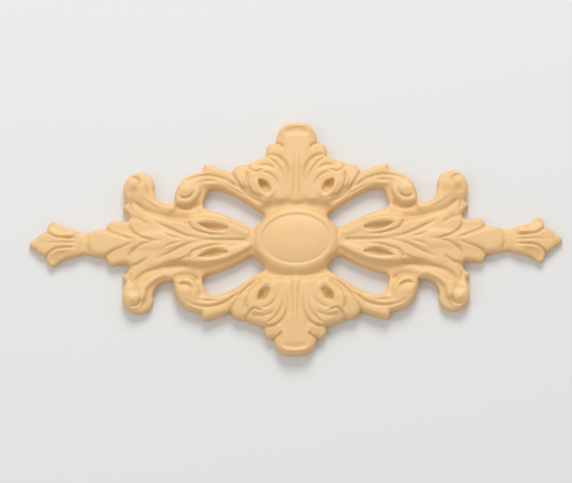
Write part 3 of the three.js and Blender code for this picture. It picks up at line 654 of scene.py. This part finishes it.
@dataclass(frozen=True)
class CastFinish:
    """Smooth satin finish of the unpainted cast.

    Painted shade darkens the grooves towards a deeper tan, most where they are deepest, and the whole
    is faintly mottled. Scales are in waves per metre, and the depth of the grain is in metres.
    """

    tan: Colour = (0.75, 0.475, 0.208, 1)
    pale_tan: Colour = (0.79, 0.515, 0.242, 1)
    # Painted shade: the deeper tan that the grooves are darkened towards
    groove_shade_tan: Colour = (0.58, 0.335, 0.125, 1)
    mottle_scale: float = 70.0
    mottle_detail: float = 3.0
    grain_scale: float = 1400.0
    grain_detail: float = 2.0
    # How far the painted shade in the deepest grooves goes towards the deeper tan
    groove_shade_share: float = 0.55
    roughness: Shares = (0.44, 0.56)
    grain_strength: float = 0.12
    grain_depth: float = 2e-5

    def material(self) -> bpy.types.Material:
        """Builds the material.

        Returns:
            The finish of the casting.
        """
        material = bpy.data.materials.new("cast_resin_tan")
        material.use_nodes = True
        tree = material.node_tree
        shader = tree.nodes["Principled BSDF"]
        place = tree.nodes.new("ShaderNodeTexCoord")
        mottle = self.noise(tree, place, self.mottle_scale, self.mottle_detail)
        grain = self.noise(tree, place, self.grain_scale, self.grain_detail)
        open_face = self.mix(tree, self.tan, self.pale_tan)
        tree.links.new(mottle, open_face.inputs["Factor"])
        # Painted shade: the groove depth darkens the colour towards the deeper tan
        groove = tree.nodes.new("ShaderNodeAttribute")
        groove.attribute_name = "groove"
        share = tree.nodes.new("ShaderNodeMath")
        share.operation = "MULTIPLY"
        share.inputs[1].default_value = self.groove_shade_share
        tree.links.new(groove.outputs["Fac"], share.inputs[0])
        groove_shaded = self.mix(tree, self.tan, self.groove_shade_tan)
        tree.links.new(share.outputs["Value"], groove_shaded.inputs["Factor"])
        tree.links.new(open_face.outputs["Result"], groove_shaded.inputs["A"])
        tree.links.new(groove_shaded.outputs["Result"], shader.inputs["Base Color"])
        gloss = tree.nodes.new("ShaderNodeMapRange")
        gloss.inputs["To Min"].default_value, gloss.inputs["To Max"].default_value = self.roughness
        tree.links.new(mottle, gloss.inputs["Value"])
        tree.links.new(gloss.outputs["Result"], shader.inputs["Roughness"])
        bump = tree.nodes.new("ShaderNodeBump")
        bump.inputs["Strength"].default_value = self.grain_strength
        bump.inputs["Distance"].default_value = self.grain_depth
        tree.links.new(grain, bump.inputs["Height"])
        tree.links.new(bump.outputs["Normal"], shader.inputs["Normal"])
        return material

    @staticmethod
    def noise(tree: bpy.types.NodeTree, place: bpy.types.Node, scale: float,
              detail: float) -> bpy.types.NodeSocket:
        """Adds a noise that lies fixed on the piece.

        Args:
            tree: The material's nodes.
            place: The node that gives the piece's own coordinates.
            scale: Waves per metre.
            detail: Octaves of finer noise.

        Returns:
            The socket with the noise's value.
        """
        noise = tree.nodes.new("ShaderNodeTexNoise")
        noise.inputs["Scale"].default_value = scale
        noise.inputs["Detail"].default_value = detail
        tree.links.new(place.outputs["Object"], noise.inputs["Vector"])
        return noise.outputs["Fac"]

    @staticmethod
    def mix(tree: bpy.types.NodeTree, first: Colour, second: Colour) -> ColourMix:
        """Adds a blend of two colours.

        Args:
            tree: The material's nodes.
            first: Colour at factor 0.
            second: Colour at factor 1.

        Returns:
            The blend's colour sockets by name.
        """
        node = tree.nodes.new("ShaderNodeMix")
        node.data_type = "RGBA"
        sockets = ColourMix(
            inputs={"Factor": node.inputs[0], "A": node.inputs[6], "B": node.inputs[7]},
            outputs={"Result": node.outputs[2]})
        sockets.inputs["A"].default_value = first
        sockets.inputs["B"].default_value = second
        return sockets


@dataclass(frozen=True)
class Lamp:
    """One soft square light that shines at the ornament, in metres and watts."""

    name: str
    spot: Place
    size: float
    power: float


@dataclass
class Studio:
    """Pale floor, soft light and the camera at the photograph's viewing angle.

    The elevation and the turn are degrees, the focal length and the sensor are millimetres, and
    the ornament's middle lies centre_right and centre_down pixels off the photograph's middle.
    """

    elevation: float = 75.0
    turn: float = 0.52
    distance: float = 1.2
    focal: float = 200.9
    sensor: float = 36.0
    nearest_seen: float = 0.05
    centre_right: float = 9.9
    centre_down: float = 1.9
    pixels_per_mm: float = 2.66
    floor_reach: float = 2.0
    floor_colour: Colour = (0.72, 0.72, 0.71, 1)
    floor_roughness: float = 0.9
    lamps: tuple[Lamp, ...] = (
        Lamp("key", (0.05, 1.0, 0.9), 0.6, 11.5),
        Lamp("fill", (-0.8, -0.3, 1.0), 1.0, 2.5),
    )
    sky_colour: Colour = (1, 1, 1, 1)
    sky_strength: float = 0.6

    def camera(self) -> bpy.types.Object:
        """Places the camera.

        Returns:
            The camera, also set as the scene's own.
        """
        data = bpy.data.cameras.new("camera")
        data.lens = self.focal
        data.sensor_width = self.sensor
        data.clip_start = self.nearest_seen
        camera = bpy.data.objects.new("camera", data)
        tilt = math.radians(90 - self.elevation)
        spin = Matrix.Rotation(math.radians(-self.turn), 3, "Z")
        back = spin @ Vector((0, -math.sin(tilt), math.cos(tilt)))
        right = spin @ Vector((1, 0, 0))
        up = back.cross(right)
        size = MM / self.pixels_per_mm
        aim = right * (-self.centre_right * size) + up * (self.centre_down * size)
        turned = Matrix((right, up, back)).transposed()
        camera.matrix_world = Matrix.Translation(aim + back * self.distance) @ turned.to_4x4()
        bpy.context.scene.collection.objects.link(camera)
        bpy.context.scene.camera = camera
        return camera

    def floor(self) -> bpy.types.Object:
        """Lays the pale floor.

        Returns:
            The floor, marked as no part of the ornament.
        """
        bm = bmesh.new()
        bmesh.ops.create_grid(bm, x_segments=1, y_segments=1, size=self.floor_reach)
        mesh = bpy.data.meshes.new("studio_floor")
        bm.to_mesh(mesh)
        bm.free()
        floor = bpy.data.objects.new("studio_floor", mesh)
        material = bpy.data.materials.new("pale_floor")
        material.use_nodes = True
        shader = material.node_tree.nodes["Principled BSDF"]
        shader.inputs["Base Color"].default_value = self.floor_colour
        shader.inputs["Roughness"].default_value = self.floor_roughness
        mesh.materials.append(material)
        bpy.context.scene.collection.objects.link(floor)
        return floor

    @staticmethod
    def light(lamp: Lamp) -> bpy.types.Object:
        """Sets up one light and turns it towards the ornament.

        Args:
            lamp: The light.

        Returns:
            The light as an object of the scene.
        """
        data = bpy.data.lights.new(lamp.name, "AREA")
        data.size = lamp.size
        data.energy = lamp.power
        light = bpy.data.objects.new(lamp.name, data)
        place = Vector(lamp.spot)
        facing = place.to_track_quat("Z", "Y").to_matrix().to_4x4()
        light.matrix_world = Matrix.Translation(place) @ facing
        bpy.context.scene.collection.objects.link(light)
        return light

    def sky(self) -> bpy.types.World:
        """Surrounds the studio with even white light.

        Returns:
            The scene's world.
        """
        world = bpy.data.worlds.new("studio_world")
        world.use_nodes = True
        background = world.node_tree.nodes["Background"]
        background.inputs["Color"].default_value = self.sky_colour
        background.inputs["Strength"].default_value = self.sky_strength
        bpy.context.scene.world = world
        return world

    def build(self) -> None:
        """Sets up the camera, the floor, the lights and the sky."""
        self.camera()
        self.floor()
        for lamp in self.lamps:
            self.light(lamp)
        self.sky()
        bpy.context.scene.view_settings.view_transform = "Standard"


def main() -> None:
    """Builds the studio and the ornament, and reports each piece."""
    logging.basicConfig(level=logging.INFO, format="%(name)s: %(message)s")
    Studio().build()
    casting = Casting(Relief())
    piece = casting.build()
    piece.data.materials.append(CastFinish().material())
    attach(piece, "root")
    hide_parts("ornament")
    triangles = sum(len(p.vertices) - 2 for p in piece.data.polygons)
    log.info("%s has %d triangles", piece.name, triangles)


if __name__ == "__main__":
    main()
